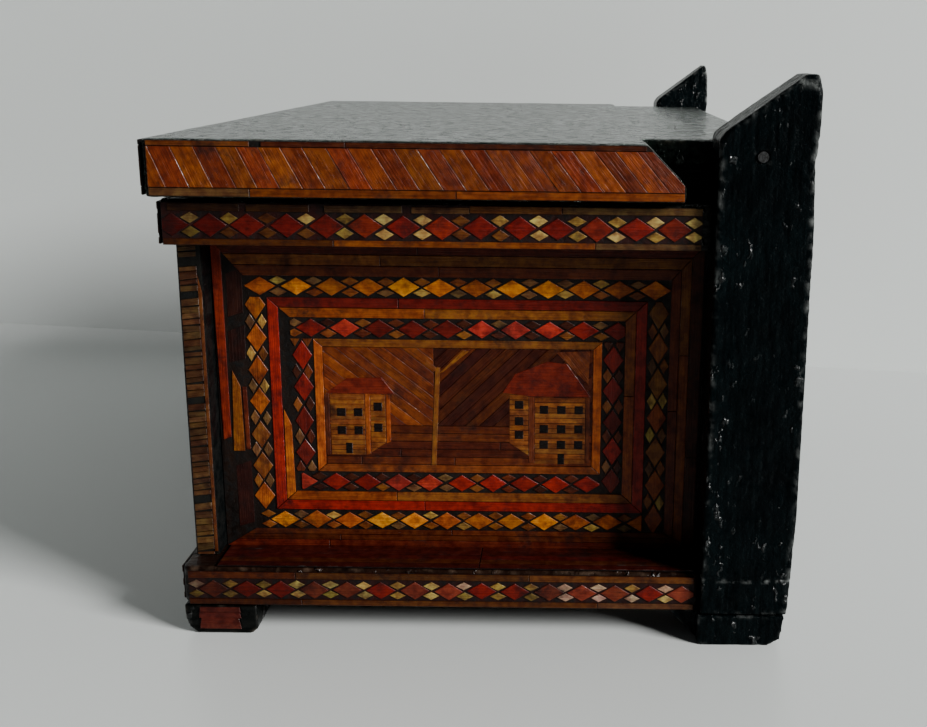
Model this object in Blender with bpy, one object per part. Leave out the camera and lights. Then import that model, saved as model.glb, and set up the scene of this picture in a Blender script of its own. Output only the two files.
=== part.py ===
"""Straw-inlaid wooden casket with a pinned lid, built from separate boards, rails and skins.

Right end of the box is +X, the front is -Y, up is +Z. Sizes are in metres and the
driving values below are written in millimetres times MM.
"""
import math

import bmesh
import bpy

MM = 0.001
GAP = 0.3 * MM                     # clearance between pieces that touch
SKIN = 0.7 * MM                    # thickness of a glued straw skin

# overall envelope
LID_HALF_LENGTH = 135.0 * MM
DEPTH = 184.4 * MM
LID_TOP = 147.1 * MM

# feet and base rails
BASE_BOTTOM = 9.6 * MM
BASE_TOP = 21.3 * MM
BASE_HALF_LENGTH = 132.0 * MM
BASE_FRONT = 2.2 * MM
BASE_INSIDE = 100.0 * MM
BASE_CORNER = 3.0 * MM             # radius of the two front corners, in plan

# walls, which carry on up inside the rim and the lid
SHOULDER = 117.0 * MM              # the front board is full length up to here
WALL_TOP = 138.8 * MM
END_FACE = 114.5 * MM
END_THICKNESS = 7.5 * MM
FRONT_BOARD_HALF_LENGTH = 123.0 * MM
FRONT_BOARD_FRONT = 5.1 * MM
FRONT_BOARD_BACK = 12.2 * MM
BACK_BOARD_FRONT = 177.6 * MM
BACK_BOARD_BACK = 182.2 * MM

# rim rails round the mouth of the box
RIM_TOP = 130.2 * MM
RIM_HALF_LENGTH = 130.0 * MM
RIM_FRONT = 2.3 * MM
RIM_CORNER = 1.4 * MM

# hinge posts with their ears
POST_FRONT = 157.2 * MM
POST_OUTER = 134.5 * MM
POST_BACKS = {-1: 181.2 * MM, 1: DEPTH}   # sawn by hand: the left post is the slimmer one
TIP_FLATS = {-1: 0.8 * MM, 1: 3.5 * MM}   # and its tip is sharp, where the right one is blunt
POST_INNER = END_FACE - SKIN
EAR_TIP_INNER = 118.7 * MM
EAR_TIP = 166.0 * MM
TIP_INSET = 1.2 * MM               # how far the tip stands in from the back face

# lid
LID_BOTTOM = 131.1 * MM
LID_BOARD_BOTTOM = 139.1 * MM
LID_BOARD_REAR = 138.0 * MM
LID_RAIL_REAR = 149.0 * MM
LID_RAIL_WIDTH = 13.0 * MM
LID_FRONT_RAIL_WIDTH = 5.0 * MM
LID_CORNER = 2.0 * MM
TONGUE_HALF_LENGTH = 113.0 * MM
TONGUE_REAR = 175.7 * MM

# hinge pins
PIN_BACK = 169.1 * MM
PIN_HEIGHT = 144.0 * MM
PIN_RADIUS = 1.5 * MM
PIN_CLEARANCE = 0.1 * MM
PIN_RELIEF = 8.6 * MM               # room round the pin for the back edge of the lid to swing
PIN_INNER_END = 100.0 * MM
PIN_OUTER_END = 134.9 * MM

# feet
FOOT_WIDTH = 21.5 * MM

MATERIALS = {}


def back(distance):
    """Turn a distance behind the lid's front edge into a Y coordinate."""
    return distance - DEPTH / 2


def clear_scene():
    for thing in list(bpy.data.objects):
        bpy.data.objects.remove(thing, do_unlink=True)


def material(name, colour, roughness, metallic=0.0):
    if name in MATERIALS:
        return MATERIALS[name]
    made = bpy.data.materials.new(name)
    made.use_nodes = True
    shader = made.node_tree.nodes["Principled BSDF"]
    shader.inputs["Base Color"].default_value = (*colour, 1.0)
    shader.inputs["Roughness"].default_value = roughness
    shader.inputs["Metallic"].default_value = metallic
    MATERIALS[name] = made
    return made


def black_paint():
    return material("black_painted_wood", (0.012, 0.014, 0.013), 0.55)


def bare_wood():
    return material("bare_wood", (0.36, 0.22, 0.11), 0.6)


def golden_straw():
    return material("golden_straw", (0.46, 0.22, 0.04), 0.35)


def red_straw():
    return material("red_straw", (0.30, 0.03, 0.012), 0.35)


def pin_steel():
    return material("pin_steel", (0.25, 0.23, 0.20), 0.45, 1.0)


def solid_from_outline(name, outline, place, low, high, look):
    """Extrude a closed outline between two levels; place maps (u, v, level) to a point."""
    mesh = bmesh.new()
    bottom = [mesh.verts.new(place(u, v, low)) for u, v in outline]
    top = [mesh.verts.new(place(u, v, high)) for u, v in outline]
    mesh.faces.new(bottom)
    mesh.faces.new(top)
    count = len(outline)
    for index in range(count):
        after = (index + 1) % count
        mesh.faces.new((bottom[index], bottom[after], top[after], top[index]))
    bmesh.ops.recalc_face_normals(mesh, faces=mesh.faces)
    data = bpy.data.meshes.new(name)
    mesh.to_mesh(data)
    mesh.free()
    data.materials.append(look)
    made = bpy.data.objects.new(name, data)
    bpy.context.scene.collection.objects.link(made)
    return made


def plan_solid(name, outline, low, high, look):
    """Solid with a plan outline of (x, distance behind the lid's front edge) points."""
    return solid_from_outline(name, outline, lambda x, d, z: (x, back(d), z), low, high, look)


def side_solid(name, outline, inner, outer, look):
    """Solid with a side outline of (distance back, height) points, extruded along X."""
    return solid_from_outline(name, outline, lambda d, z, x: (x, back(d), z), inner, outer, look)


def front_solid(name, outline, near, far, look):
    """Solid with a front outline of (x, height) points, extruded from front to back."""
    return solid_from_outline(name, outline, lambda x, z, d: (x, back(d), z), near, far, look)


def box(name, x_range, d_range, z_range, look):
    (x0, x1), (d0, d1) = x_range, d_range
    return plan_solid(name, [(x0, d0), (x1, d0), (x1, d1), (x0, d1)], *z_range, look)


def soften(piece, width, segments=2):
    bevel = piece.modifiers.new("soft_edges", "BEVEL")
    bevel.width = width
    bevel.segments = segments
    bevel.limit_method = "ANGLE"
    bevel.angle_limit = math.radians(40)
    return piece


def combine(piece, other, operation):
    change = piece.modifiers.new(operation.lower(), "BOOLEAN")
    change.operation = operation
    change.solver = "EXACT"
    change.object = other
    other.hide_render = True
    other.display_type = "WIRE"


def cylinder_along_x(name, x_range, d, z, radius, look, sides=24):
    ring = [(d + radius * math.cos(math.tau * n / sides), z + radius * math.sin(math.tau * n / sides))
            for n in range(sides)]
    piece = side_solid(name, ring, *x_range, look)
    for face in piece.data.polygons:
        face.use_smooth = len(face.vertices) == 4
    return piece


def front_rail_plan(half_length, front, rear, radius, steps=6):
    """Plan of a full-length front rail with its two outer corners rounded."""
    points = []
    for side in (-1, 1):
        arc = []
        for n in range(steps + 1):
            angle = 0.5 * math.pi * n / steps
            x = half_length - radius + radius * math.sin(angle)
            d = front + radius - radius * math.cos(angle)
            arc.append((side * x, d))
        points += arc if side > 0 else arc[::-1]
    return points + [(half_length, rear), (-half_length, rear)]


def mirrored(outline, side):
    return [(side * x, d) for x, d in outline]


def spans(side, inner, outer):
    """X range of a piece on the left (-1) or right (+1) end, low value first."""
    return (inner, outer) if side > 0 else (-outer, -inner)


def hand(side):
    return "right" if side > 0 else "left"


def build_base():
    wood = BASE_HALF_LENGTH - SKIN - GAP
    heights = (BASE_BOTTOM, BASE_TOP)
    rail_front = BASE_FRONT + SKIN + GAP
    rail_back = rail_front + 20.0 * MM
    front = plan_solid("base_rail_front", front_rail_plan(wood, rail_front, rail_back, BASE_CORNER),
                       *heights, black_paint())
    soften(front, 0.6 * MM)
    rear_inner = POST_INNER - GAP
    soften(box("base_rail_back", (-rear_inner, rear_inner), (POST_FRONT, 181.0 * MM), heights,
               black_paint()), 0.6 * MM)
    for side in (-1, 1):
        soften(box(f"base_rail_{hand(side)}", spans(side, BASE_INSIDE, wood),
                   (rail_back + GAP, POST_FRONT - GAP), heights, black_paint()), 0.6 * MM)


def build_walls():
    end_wood = END_FACE - SKIN - GAP
    end_inner = END_FACE - END_THICKNESS
    bottom = BASE_TOP + GAP
    shoulder_half = FRONT_BOARD_HALF_LENGTH - SKIN - GAP
    front_outline = [(-shoulder_half, bottom), (shoulder_half, bottom), (shoulder_half, SHOULDER),
                     (end_wood, SHOULDER), (end_wood, WALL_TOP), (-end_wood, WALL_TOP),
                     (-end_wood, SHOULDER), (-shoulder_half, SHOULDER)]
    soften(front_solid("front_board", front_outline, FRONT_BOARD_FRONT + SKIN + GAP,
                       FRONT_BOARD_BACK, black_paint()), 0.4 * MM)
    soften(box("back_board", (-end_wood, end_wood), (BACK_BOARD_FRONT, BACK_BOARD_BACK),
               (bottom, WALL_TOP), black_paint()), 0.6 * MM)
    inside = (FRONT_BOARD_BACK + GAP, BACK_BOARD_FRONT - GAP)
    start, end = inside
    relief_start = PIN_BACK - PIN_RELIEF
    relief_top = PIN_HEIGHT - PIN_RELIEF
    end_outline = [(start, bottom), (end, bottom), (end, relief_top), (relief_start, relief_top),
                   (relief_start, WALL_TOP), (start, WALL_TOP)]
    for side in (-1, 1):
        soften(side_solid(f"end_board_{hand(side)}", end_outline, side * end_inner,
                          side * end_wood, black_paint()), 0.4 * MM)
    floor_half = end_inner - GAP
    box("bottom_board", (-floor_half, floor_half), inside, (bottom, bottom + 5.7 * MM), bare_wood())


def build_rim():
    wood = RIM_HALF_LENGTH - SKIN - GAP
    heights = (SHOULDER + GAP, RIM_TOP)
    rail_front = RIM_FRONT + SKIN + GAP
    rail_back = FRONT_BOARD_FRONT + SKIN
    front = plan_solid("rim_rail_front", front_rail_plan(wood, rail_front, rail_back, RIM_CORNER),
                       *heights, black_paint())
    soften(front, 0.6 * MM)
    for side in (-1, 1):
        soften(box(f"rim_rail_{hand(side)}", spans(side, POST_INNER, wood),
                   (rail_back + GAP, POST_FRONT - GAP), heights, black_paint()), 0.6 * MM)


def ear_inner_face(height):
    """The ears thin towards their tips: inner X at a given height."""
    share = max(0.0, (height - LID_TOP) / (EAR_TIP - LID_TOP))
    return POST_INNER + share * (EAR_TIP_INNER - POST_INNER)


def post_outline(post_back, tip_flat):
    """Side view of a hinge post, from its foot round the back to the tip of the ear."""
    rear = [(1.2, 9.6), (0.1, 40.0), (0.1, 120.0), (0.8, 142.0), (0.0, 149.0), (0.0, 161.0)]
    tip = post_back - TIP_INSET
    front = [(158.7, 150.6), (157.2, 148.6), (157.2, 9.6)]
    outline = [(post_back - inset * MM, z * MM) for inset, z in rear]
    outline += [(tip, EAR_TIP), (tip - tip_flat, EAR_TIP - 0.2 * MM)]
    return outline + [(d * MM, z * MM) for d, z in front]


def build_posts():
    cutter = cylinder_along_x("pin_hole_cutter", (-0.2, 0.2), PIN_BACK, PIN_HEIGHT,
                              PIN_RADIUS + PIN_CLEARANCE, black_paint())
    for side in (-1, 1):
        post = side_solid(f"hinge_post_{hand(side)}", post_outline(POST_BACKS[side], TIP_FLATS[side]),
                          side * POST_INNER, side * POST_OUTER, black_paint())
        for vertex in post.data.vertices:
            if abs(vertex.co.x) < POST_OUTER - MM:
                vertex.co.x = side * ear_inner_face(vertex.co.z)
        soften(post, 0.8 * MM)
        combine(post, cutter, "DIFFERENCE")
        cylinder_along_x(f"hinge_pin_{hand(side)}", spans(side, PIN_INNER_END, PIN_OUTER_END),
                         PIN_BACK, PIN_HEIGHT, PIN_RADIUS, pin_steel())
    return cutter


def rear_foot_outline(post_back):
    front = [(156.4, 9.3), (156.4, 1.0), (157.4, 0.0)]
    rear = [(6.5, 0.0), (3.0, 2.0), (2.1, 9.3)]
    return ([(d * MM, z * MM) for d, z in front]
            + [(post_back - inset * MM, z * MM) for inset, z in rear])


def build_feet():
    outer = BASE_HALF_LENGTH - SKIN - GAP
    front_outline = [(3.2, 9.3), (3.4, 5.0), (4.6, 1.8), (7.0, 0.0), (23.5, 0.0), (25.0, 1.5),
                     (25.0, 9.3)]
    bracket_outline = [(148.0, 9.3), (156.0, 0.8), (158.0, 0.8), (158.0, 9.3)]
    front_outline = [(d * MM, z * MM) for d, z in front_outline]
    bracket_outline = [(d * MM, z * MM) for d, z in bracket_outline]
    for side in (-1, 1):
        inner = side * (outer - FOOT_WIDTH)
        soften(side_solid(f"foot_front_{hand(side)}", front_outline, inner, side * outer,
                          black_paint()), 0.5 * MM)
        foot = side_solid(f"foot_rear_{hand(side)}", rear_foot_outline(POST_BACKS[side]), inner,
                          side * POST_OUTER, black_paint())
        bracket = side_solid(f"foot_bracket_{hand(side)}", bracket_outline, inner + side * MM,
                             side * (outer - MM), black_paint())
        combine(foot, bracket, "UNION")


def build_lid(cutter):
    board_half = LID_HALF_LENGTH - SKIN - GAP
    front = SKIN + GAP
    plan = front_rail_plan(board_half, front, LID_BOARD_REAR, LID_CORNER)[:-2]
    plan += [(board_half, LID_BOARD_REAR), (TONGUE_HALF_LENGTH, LID_BOARD_REAR),
             (TONGUE_HALF_LENGTH, TONGUE_REAR), (-TONGUE_HALF_LENGTH, TONGUE_REAR),
             (-TONGUE_HALF_LENGTH, LID_BOARD_REAR), (-board_half, LID_BOARD_REAR)]
    board = plan_solid("lid_board", plan, LID_BOARD_BOTTOM, LID_TOP, black_paint())
    soften(board, 0.7 * MM)
    combine(board, cutter, "DIFFERENCE")
    rail_heights = (LID_BOTTOM, LID_BOARD_BOTTOM - GAP)
    rail_back = front + LID_FRONT_RAIL_WIDTH
    soften(plan_solid("lid_rail_front", front_rail_plan(board_half, front, rail_back, LID_CORNER),
                      *rail_heights, black_paint()), 0.5 * MM)
    clear = LID_BOARD_REAR + GAP
    outline = [(rail_back + GAP, LID_BOTTOM), (LID_RAIL_REAR, LID_BOTTOM),
               (LID_RAIL_REAR, 135.5 * MM), (LID_RAIL_REAR - 2.0 * MM, 138.0 * MM),
               (clear, LID_TOP - 0.5 * MM), (clear, LID_BOARD_BOTTOM - GAP),
               (rail_back + GAP, LID_BOARD_BOTTOM - GAP)]
    for side in (-1, 1):
        soften(side_solid(f"lid_rail_{hand(side)}", outline, side * (board_half - LID_RAIL_WIDTH),
                          side * board_half, black_paint()), 0.4 * MM)


def end_skin(name, outline, face, look):
    """A straw skin of side outline glued to an end face, one on each end."""
    points = [(d * MM, z * MM) for d, z in outline]
    for side in (-1, 1):
        side_solid(f"{name}_{hand(side)}", points, side * (face - SKIN), side * face, look)


def strip(d0, d1, z0, z1):
    return [(d0, z0), (d1, z0), (d1, z1), (d0, z1)]


def build_straw_skins():
    gold, red = golden_straw(), red_straw()
    end_skin("straw_lid_end", [(1.9, 131.6), (148.6, 131.6), (148.6, 135.4), (146.7, 137.9),
                               (138.0, 146.6), (1.9, 146.6)], LID_HALF_LENGTH, gold)
    end_skin("straw_rim_end", strip(4.2, 154.0, 117.5, 129.4), RIM_HALF_LENGTH, red)
    end_skin("straw_base_end", strip(5.2, 155.5, 9.9, 20.4), BASE_HALF_LENGTH, red)
    end_skin("straw_panel_end", strip(12.5, 156.8, 21.6, 116.9), END_FACE, gold)
    end_skin("straw_corner_strip", strip(6.3, 12.1, 22.0, 116.8), FRONT_BOARD_HALF_LENGTH, gold)
    end_skin("straw_foot_end", strip(7.0, 22.0, 1.6, 9.0), BASE_HALF_LENGTH, red)
    fronts = {
        "straw_lid_front": (132.5, 131.6, 146.6, 0.0, gold),
        "straw_rim_front": (128.0, 117.5, 129.4, RIM_FRONT, red),
        "straw_base_front": (127.5, 9.9, 20.4, BASE_FRONT, red),
        "straw_panel_front": (122.0, 21.8, 116.8, FRONT_BOARD_FRONT, gold),
    }
    for name, (half, low, high, face, look) in fronts.items():
        points = [(-half * MM, low * MM), (half * MM, low * MM), (half * MM, high * MM),
                  (-half * MM, high * MM)]
        front_solid(name, points, face, face + SKIN, look)
    for side in (-1, 1):
        ledge = spans(side, END_FACE + GAP, BASE_HALF_LENGTH - 1.6 * MM)
        box(f"straw_ledge_{hand(side)}", ledge, (FRONT_BOARD_BACK + 1.5 * MM, POST_FRONT - 2 * MM),
            (BASE_TOP + GAP, BASE_TOP + GAP + 0.5 * MM), red)


def main():
    clear_scene()
    build_base()
    build_walls()
    build_rim()
    cutter = build_posts()
    build_feet()
    build_lid(cutter)
    build_straw_skins()


main()
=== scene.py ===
"""Looks for the straw-inlaid box: split-straw marquetry, thick worn black paint, light, camera.

The box lies along X with its front at -Y. The faces that carry straw are drawn in millimetres:
u runs back from the lid's front edge on the ends and along X on the front, v is the height.
"""
import math
import random
from functools import cache

import bmesh
import bpy
import numpy as np
from mathutils import Matrix, Vector, noise


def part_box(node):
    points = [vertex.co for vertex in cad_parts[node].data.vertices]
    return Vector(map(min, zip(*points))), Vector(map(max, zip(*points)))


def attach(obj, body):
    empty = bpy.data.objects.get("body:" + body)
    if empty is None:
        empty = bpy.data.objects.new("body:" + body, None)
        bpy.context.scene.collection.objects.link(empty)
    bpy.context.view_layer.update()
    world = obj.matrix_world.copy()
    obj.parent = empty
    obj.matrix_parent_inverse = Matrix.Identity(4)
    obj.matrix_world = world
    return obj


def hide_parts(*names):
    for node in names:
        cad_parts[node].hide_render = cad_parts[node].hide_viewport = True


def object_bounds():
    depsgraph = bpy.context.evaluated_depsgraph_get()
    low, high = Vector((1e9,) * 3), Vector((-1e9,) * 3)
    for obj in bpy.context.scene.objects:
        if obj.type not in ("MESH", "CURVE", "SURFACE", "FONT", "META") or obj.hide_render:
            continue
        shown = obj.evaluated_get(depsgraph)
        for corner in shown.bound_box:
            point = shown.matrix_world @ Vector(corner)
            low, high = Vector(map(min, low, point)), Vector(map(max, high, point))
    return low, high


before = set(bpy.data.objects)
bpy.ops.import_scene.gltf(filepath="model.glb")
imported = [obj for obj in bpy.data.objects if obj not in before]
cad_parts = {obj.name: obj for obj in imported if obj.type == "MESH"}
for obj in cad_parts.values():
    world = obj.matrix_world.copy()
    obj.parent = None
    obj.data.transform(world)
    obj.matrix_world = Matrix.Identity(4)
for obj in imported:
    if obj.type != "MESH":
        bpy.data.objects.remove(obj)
CAD_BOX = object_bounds()

MM = 0.001
FRONT_EDGE = CAD_BOX[0].y

# heights in millimetres above the face that the straw is glued to
GROUND = 0.32
STRAW_TOP = 0.60
HIGHEST = 0.68
PICTURE_BACK, PICTURE_WALL, PICTURE_PIECE, PICTURE_HOLE = 0.50, 0.55, 0.60, 0.64

# a cut straw in millimetres: its rounded rim, how unevenly it is glued on, the smallest scrap used
RIM_WIDTH = 0.14
RIM_DROP = 0.11
UNEVENNESS = 0.06
TILT = 0.05
LEAN = 0.008
SMALLEST_AREA = 0.25
UPRIGHT = math.pi / 2

# how much the straws differ in lightness, and in each colour
LIGHTNESS_SPREAD = 0.12
COLOUR_SPREAD = 0.06

# diamonds: half their run as a share of the pitch, and half their width as a share of the row's;
# how far from the row's middle the small ones lie, and the least part of one that is still laid
BIG_DIAMOND = (0.45, 0.465)
SMALL_DIAMOND = (0.255, 0.225)
SMALL_OFFSET = 0.275
LEAST_SHOWN = 0.45

# the picture's frame on an end panel, as (u0, v0, u1, v1), and how wide (left and right, above and
# below) the frame, a row of diamonds, a pair of plain straws and the red one of the pair are
PICTURE_FRAME = (41.5, 46.0, 127.4, 87.6)
PICTURE_BORDER = (2.7, 2.5)
DIAMOND_ROW = (6.7, 6.3)
STRAW_PAIR = (6.5, 6.1)
RED_STRAW = (3.3, 3.1)

# the lid's slanted straws: how wide each is, and how far the band stays from the foot and the head
SLANTED_WIDTH = 6.05
SLANTED_FOOT = 2.4
SLANTED_HEAD = 1.6

# straw colours: natural, steamed brown, dyed red, and bleached; DARK_BROWN and OXBLOOD also serve as
# painted shade on the panels' back edges and the ledges
GOLD = (0.25, 0.054, 0.005)
AMBER = (0.20, 0.037, 0.004)
BRIGHT_GOLD = (0.44, 0.135, 0.006)
OCHRE = (0.13, 0.035, 0.006)
BROWN = (0.070, 0.012, 0.003)
DARK_BROWN = (0.034, 0.006, 0.002)
RUSSET = (0.18, 0.025, 0.005)
LID_GOLD = (0.24, 0.045, 0.005)
SCARLET = (0.20, 0.013, 0.004)
RED = (0.165, 0.0065, 0.003)
DEEP_RED = (0.080, 0.004, 0.002)
MAROON = (0.055, 0.0060, 0.002)
OXBLOOD = (0.026, 0.003, 0.002)
ROSE = (0.22, 0.016, 0.009)
DULL_ROSE = (0.17, 0.024, 0.011)
CREAM = (0.46, 0.29, 0.085)
BLUSH = (0.42, 0.25, 0.16)
OLIVE = (0.10, 0.042, 0.014)
WALL_OCHRE = (0.155, 0.044, 0.008)
PALE_GOLD = (0.30, 0.17, 0.035)
GLUE = (0.0035, 0.0016, 0.0010)

# how much old varnish and dirt darken all the straw, and some parts of the box once more
STRAW_SHADE = 0.64
LID_SHADE = 0.61
RAIL_SHADE = 0.70
CORNER_SHADE = 0.66
PANEL_SHADE = 1.03

# the sizes of the unevenness in old paint, in millimetres
BROAD_WAVES = 14
FINE_WAVES = 2.4
PITS = 1.9


# ---------------------------------------------------------------- outlines on a flat face

def rectangle(u0, v0, u1, v1):
    return [(u0, v0), (u1, v0), (u1, v1), (u0, v1)]


def area(outline):
    return 0.5 * sum(a[0] * b[1] - b[0] * a[1] for a, b in zip(outline, outline[1:] + outline[:1]))


def cut(outline, point, normal):
    """The part of a convex outline on the side of a line that normal points away from."""
    kept = []
    for a, b in zip(outline, outline[1:] + outline[:1]):
        da = (a[0] - point[0]) * normal[0] + (a[1] - point[1]) * normal[1]
        db = (b[0] - point[0]) * normal[0] + (b[1] - point[1]) * normal[1]
        if da <= 0:
            kept.append(a)
        if da * db < 0:
            share = da / (da - db)
            kept.append((a[0] + share * (b[0] - a[0]), a[1] + share * (b[1] - a[1])))
    return kept


def cut_to(outline, limit):
    """The part of a convex outline inside a convex, counter-clockwise limit."""
    for a, b in zip(limit, limit[1:] + limit[:1]):
        if len(outline) < 3:
            return []
        outline = cut(outline, a, (b[1] - a[1], a[0] - b[0]))
    return outline


def span(outline, direction):
    """How far an outline reaches along a direction, as (low, high)."""
    runs = [p[0] * direction[0] + p[1] * direction[1] for p in outline]
    return min(runs), max(runs)


def between(outline, direction, low, high):
    """The part of a convex outline between two distances along a direction."""
    dx, dy = direction
    return cut(cut(outline, (dx * low, dy * low), (-dx, -dy)), (dx * high, dy * high), direction)


def shrunk(outline, margin):
    """A convex, counter-clockwise outline moved in by a margin on every side."""
    count = len(outline)
    moved = []
    for index in range(count):
        before, here, after = outline[index - 1], outline[index], outline[(index + 1) % count]
        first = Vector((here[0] - before[0], here[1] - before[1])).normalized()
        second = Vector((after[0] - here[0], after[1] - here[1])).normalized()
        inward = Vector((-first.y - second.y, first.x + second.x))
        spread = max(0.35, 1 + first.dot(second))
        moved.append((here[0] + margin * inward.x / spread, here[1] + margin * inward.y / spread))
    return moved


def without_repeats(outline, closest=0.05):
    kept = []
    for point in outline:
        if not kept or math.dist(point, kept[-1]) > closest:
            kept.append(point)
    if len(kept) > 1 and math.dist(kept[0], kept[-1]) <= closest:
        kept.pop()
    return kept


def nested(rect, side, cap):
    """The rectangle inside another one: side in from the left and right, cap from top and bottom."""
    u0, v0, u1, v1 = rect
    return (u0 + side, v0 + cap, u1 - side, v1 - cap)


def around(rect, widths):
    return nested(rect, -widths[0], -widths[1])


def mitred_sides(outer, inner):
    """The four mitred bands between two nested rectangles, by name."""
    a, b, c, d = rectangle(*outer)
    e, f, g, h = rectangle(*inner)
    return {"bottom": [a, b, f, e], "back": [b, c, g, f], "top": [c, d, h, g], "front": [d, a, e, h]}


def band_angle(where):
    """The angle of the straw in one side of a frame, along the band."""
    return 0 if where in ("top", "bottom") else UPRIGHT


def limited(value, most):
    return max(-most, min(most, value))


# ---------------------------------------------------------------- straw marquetry

class Inlay:
    """Split straws on one flat face, gathered into a single mesh.

    place turns (u, v, height above the face's wood) in millimetres into a point in metres.
    shade darkens every straw, and dulled = (from u, to u, share left) the handled part.
    """

    def __init__(self, name, place, shade=1.0, dulled=None):
        self.name = name
        self.place = place
        self.shade = shade
        self.dulled = dulled
        self.random = random.Random(name)
        self.points, self.faces, self.slots = [], [], []
        self.fibres, self.tints, self.rims = [], [], []
        origin = Vector(place(0, 0, 0))
        across = (Vector(place(1, 0, 0)) - origin).cross(Vector(place(0, 1, 0)) - origin)
        self.mirrored = across.dot(Vector(place(0, 0, 1)) - origin) < 0

    def add_ring(self, outline, heights, fibre, tint, rim):
        first = len(self.points)
        along, offset, seed = fibre
        for (u, v), height in zip(outline, heights):
            self.points.append(self.place(u, v, height))
            run = u * along[0] + v * along[1]
            side = v * along[0] - u * along[1]
            self.fibres.append((run + offset, side + 0.37 * offset, seed))
            self.tints.append((*tint, 1.0))
            self.rims.append(rim)
        return list(range(first, first + len(outline)))

    def add_face(self, corners, slot):
        self.faces.append(corners[::-1] if self.mirrored else corners)
        self.slots.append(slot)

    def join_rings(self, low, high, slot):
        count = len(low)
        for index in range(count):
            after = (index + 1) % count
            self.add_face([low[index], low[after], high[after], high[index]], slot)

    def wear_at(self, u):
        if self.dulled is None:
            return 1.0
        start, end, left = self.dulled
        share = min(1.0, max(0.0, (u - start) / (end - start)))
        return left + (1 - left) * share

    def ground(self, outline, tint=GLUE, height=GROUND):
        """The dark glue and wood under the straw."""
        fibre = ((1, 0), 0.0, 0.5)
        low = self.add_ring(outline, [0.0] * len(outline), fibre, tint, 0.0)
        high = self.add_ring(outline, [height] * len(outline), fibre, tint, 0.0)
        self.add_face(low[::-1], 1)
        self.join_rings(low, high, 1)
        self.add_face(high, 1)

    def straw(self, outline, angle, tint, gap=0.12, top=STRAW_TOP, play=1.0):
        """One cut piece of straw whose fibres run at an angle, with a rounded, worn rim.

        play scales how unevenly the pieces are glued on.
        """
        outline = without_repeats(outline)
        if len(outline) < 3 or abs(area(outline)) < SMALLEST_AREA:
            return
        if area(outline) < 0:
            outline = outline[::-1]
        outline = shrunk(outline, gap)
        crown = shrunk(outline, RIM_WIDTH)
        if area(outline) < 0.6 * SMALLEST_AREA or area(crown) < 0.2 * SMALLEST_AREA:
            return
        pick = self.random
        along = (math.cos(angle), math.sin(angle))
        fibre = (along, pick.uniform(0, 400), pick.random())
        shade = STRAW_SHADE * self.shade * self.wear_at(outline[0][0])
        shade *= pick.gauss(1.0, LIGHTNESS_SPREAD)
        tint = tuple(max(0.0, c * shade * pick.gauss(1.0, COLOUR_SPREAD)) for c in tint)
        level = top + play * limited(pick.gauss(0.0, 0.5 * UNEVENNESS), UNEVENNESS)
        lean = Vector((pick.gauss(0, LEAN), pick.gauss(0, LEAN)))
        middle = sum((Vector(point) for point in crown), Vector((0, 0))) / len(crown)
        tilts = [limited(lean.dot(Vector(point) - middle), TILT) for point in crown]
        tops = [min(HIGHEST, level + play * tilt) for tilt in tilts]
        low = self.add_ring(outline, [GROUND * 0.6] * len(outline), fibre, tint, 1.0)
        shoulder = self.add_ring(outline, [h - RIM_DROP for h in tops], fibre, tint, 1.0)
        high = self.add_ring(crown, tops, fibre, tint, 0.0)
        self.add_face(low[::-1], 0)
        self.join_rings(low, shoulder, 0)
        self.join_rings(shoulder, high, 0)
        self.add_face(high, 0)

    def long_straw(self, outline, angle, tints, lengths=(48, 90), **glued):
        """A band one straw wide, made up of several straws laid end to end."""
        along = (math.cos(angle), math.sin(angle))
        start, end = span(outline, along)
        at = start + self.random.uniform(0.4, 1.0) * lengths[0]
        cuts = []
        while at < end - 0.4 * lengths[0]:
            cuts.append(at)
            at += self.random.uniform(*lengths)
        for low, high in zip([start - 1] + cuts, cuts + [end + 1]):
            piece = between(outline, along, low, high)
            self.straw(piece, angle, self.random.choice(tints), gap=0.07, **glued)

    def fill(self, outline, angle, width, tints, lengths=None, **glued):
        """Parallel straws of one width, side by side over a convex outline."""
        side = (-math.sin(angle), math.cos(angle))
        low, high = span(outline, side)
        count = max(1, round((high - low) / width))
        step = (high - low) / count
        for index in range(count):
            piece = between(outline, side, low + index * step, low + (index + 1) * step)
            tint = tints[index % len(tints)] if lengths is None else self.random.choice(tints)
            if lengths is None:
                self.straw(piece, angle, tint, gap=0.03, **glued)
            else:
                self.long_straw(piece, angle, [tint], lengths, **glued)

    def diamonds(self, rect, angle, pitch, first, big, small, skip=0.0):
        """A row of big diamonds with pairs of small ones in the notches between them."""
        limit = rectangle(*rect)
        u0, v0, u1, v1 = rect
        level = abs(math.cos(angle)) > 0.5
        end = u1 if level else v1
        middle = (v0 + v1) / 2 if level else (u0 + u1) / 2
        height = (v1 - v0) if level else (u1 - u0)
        wobble = self.random.gauss

        def diamond(run, side, half_run, half_side, tint):
            """One diamond, cut and laid a little unevenly by hand."""
            run += wobble(0, 0.12)
            side += wobble(0, 0.08)
            half_run *= wobble(1, 0.03)
            half_side *= wobble(1, 0.03)
            corners = [(run - half_run, side), (run, side - half_side), (run + half_run, side),
                       (run, side + half_side)]
            corners = corners if level else [(s, r) for r, s in corners][::-1]
            whole = area(corners)
            corners = cut_to(corners, limit)
            glued_on = self.random.random() >= skip
            if glued_on and len(corners) > 2 and area(corners) > LEAST_SHOWN * whole:
                self.straw(corners, angle, tint, gap=0.04)

        count = int((end - first) / pitch + 1.6)
        for index in range(-1, count):
            centre = first + index * pitch
            diamond(centre, middle, pitch * BIG_DIAMOND[0], height * BIG_DIAMOND[1],
                    self.random.choice(big))
            for side in (-1, 1):
                diamond(centre + pitch / 2, middle + side * height * SMALL_OFFSET,
                        pitch * SMALL_DIAMOND[0], height * SMALL_DIAMOND[1], self.random.choice(small))

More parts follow.
